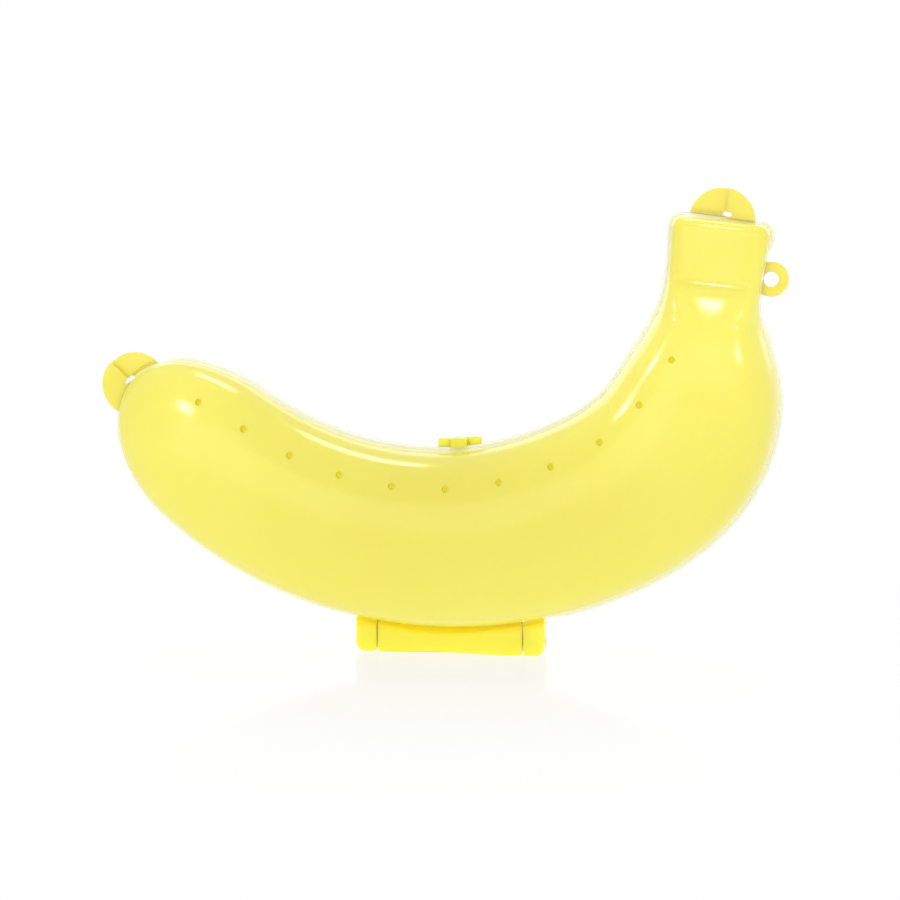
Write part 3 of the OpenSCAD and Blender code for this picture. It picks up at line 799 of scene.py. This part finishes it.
def towards(azimuth, elevation):
    a, e = math.radians(azimuth), math.radians(elevation)
    return Vector((math.sin(a) * math.cos(e), -math.cos(a) * math.cos(e), math.sin(e)))


def setCamera():
    back = towards(view["azimuth"], view["elevation"])
    bpy.ops.object.camera_add(location=(Vector(view["aim"]) + back * view["distance"]) * mm)
    camera = bpy.context.object
    camera.rotation_euler = back.to_track_quat("Z", "Y").to_euler()
    camera.data.lens = view["lens"]
    bpy.context.scene.camera = camera


setCamera()

# studio: a white table and room, broad soft lamps and small ones for the highlights
studio = {
    "floorSize": 8, "floorTint": 0.9, "floorPolish": 0.12, "white": 0.75,
    "fadeFrom": 0.04, "fadeTo": 0.16, "tableGlow": 1, "skyLevel": 0.73,
    "middle": (0, 0, 60), "tip": (-73, -16, 71), "neck": (73.5, -16.5, 100.4),  # what lamps are aimed at
    "shoulder": (51, -17, 75), "side": (81, -19, 87),
    "lamps": (  # name, azimuth, elevation, distance and size in metres, watts, spread, aim
        ("front fill", 5, 14, 1.6, 3.0, 0.9, 6.1, 180, "middle"),
        ("back fill", 185, 20, 1.6, 3.0, 0.9, 6.0, 180, "middle"),
        ("overhead strip", 178, 68, 1.0, 0.34, 0.2, 1.5, 180, "middle"),
        ("shoulder strip", -75, 25, 0.15, 0.035, 0.055, 0.001, 18, "shoulder"),
        ("side light", 58, 20, 0.2, 0.06, 0.028, 0.0007, 20, "side"),
        ("tip spot", -33, 36, 0.2, 0.042, 0.05, 0.0014, 20, "tip"),
        ("neck spot", 5.7, 52.5, 0.15, 0.022, 0.06, 0.001, 20, "neck"),
    ),
}


def seenDirectly(nodes, links):  # 1 for the camera's, glossy and transmitted rays
    path = nodes.new("ShaderNodeLightPath")
    total = path.outputs["Is Camera Ray"]
    for name in ("Is Glossy Ray", "Is Transmission Ray"):
        either = nodes.new("ShaderNodeMath")
        either.operation = "MAXIMUM"
        links.new(total, either.inputs[0])
        links.new(path.outputs[name], either.inputs[1])
        total = either.outputs["Value"]
    return total


def setFloor():
    deselect()
    bpy.ops.mesh.primitive_plane_add(size=studio["floorSize"])
    floor = bpy.context.object
    floor.name = "floor"
    white = bpy.data.materials.new("white floor")
    white.use_nodes = True
    nodes, links = white.node_tree.nodes, white.node_tree.links
    shader = nodes["Principled BSDF"]
    tint = studio["floorTint"]
    shader.inputs["Base Color"].default_value = (tint, tint, tint, 1)
    shader.inputs["Roughness"].default_value = studio["floorPolish"]
    direct = seenDirectly(nodes, links)
    table = nodes.new("ShaderNodeMixShader")  # clear to the eye with white behind, lit from below
    links.new(direct, table.inputs["Fac"])
    links.new(nodes.new("ShaderNodeEmission").outputs["Emission"], table.inputs[1])
    links.new(nodes.new("ShaderNodeBsdfTransparent").outputs["BSDF"], table.inputs[2])
    place = nodes.new("ShaderNodeTexCoord")
    reach = nodes.new("ShaderNodeVectorMath")
    reach.operation = "LENGTH"
    links.new(place.outputs["Object"], reach.inputs[0])
    fade = nodes.new("ShaderNodeMapRange")  # all white away from the case
    fade.inputs["From Min"].default_value = studio["fadeFrom"]
    fade.inputs["From Max"].default_value = studio["fadeTo"]
    fade.inputs["To Min"].default_value = studio["white"]
    links.new(reach.outputs["Value"], fade.inputs["Value"])
    share = nodes.new("ShaderNodeMix")
    share.inputs["A"].default_value = studio["tableGlow"]
    links.new(direct, share.inputs["Factor"])
    links.new(fade.outputs["Result"], share.inputs["B"])
    mix = nodes.new("ShaderNodeMixShader")
    links.new(share.outputs["Result"], mix.inputs["Fac"])
    links.new(shader.outputs["BSDF"], mix.inputs[1])
    links.new(table.outputs["Shader"], mix.inputs[2])
    links.new(mix.outputs["Shader"], nodes["Material Output"].inputs["Surface"])
    floor.data.materials.append(white)


def setLamps():
    for name, azimuth, elevation, distance, width, height, watts, spread, target in studio["lamps"]:
        back = towards(azimuth, elevation)
        bpy.ops.object.light_add(type="AREA", location=Vector(studio[target]) * mm + back * distance)
        lamp = bpy.context.object
        lamp.name = name
        lamp.rotation_euler = back.to_track_quat("Z", "Y").to_euler()
        lamp.data.shape = "RECTANGLE"
        lamp.data.size = width
        lamp.data.size_y = height
        lamp.data.energy = watts
        lamp.data.spread = math.radians(spread)


def setWorld():
    world = bpy.data.worlds.new("white room")
    bpy.context.scene.world = world
    world.use_nodes = True
    nodes, links = world.node_tree.nodes, world.node_tree.links
    sky = nodes["Background"]
    sky.inputs["Color"].default_value = (1, 1, 1, 1)
    level = nodes.new("ShaderNodeMapRange")
    level.inputs["To Min"].default_value = studio["skyLevel"]
    links.new(seenDirectly(nodes, links), level.inputs["Value"])
    links.new(level.outputs["Result"], sky.inputs["Strength"])


setFloor()
setLamps()
setWorld()
bpy.context.scene.view_settings.view_transform = "Standard"
print("studio lit")
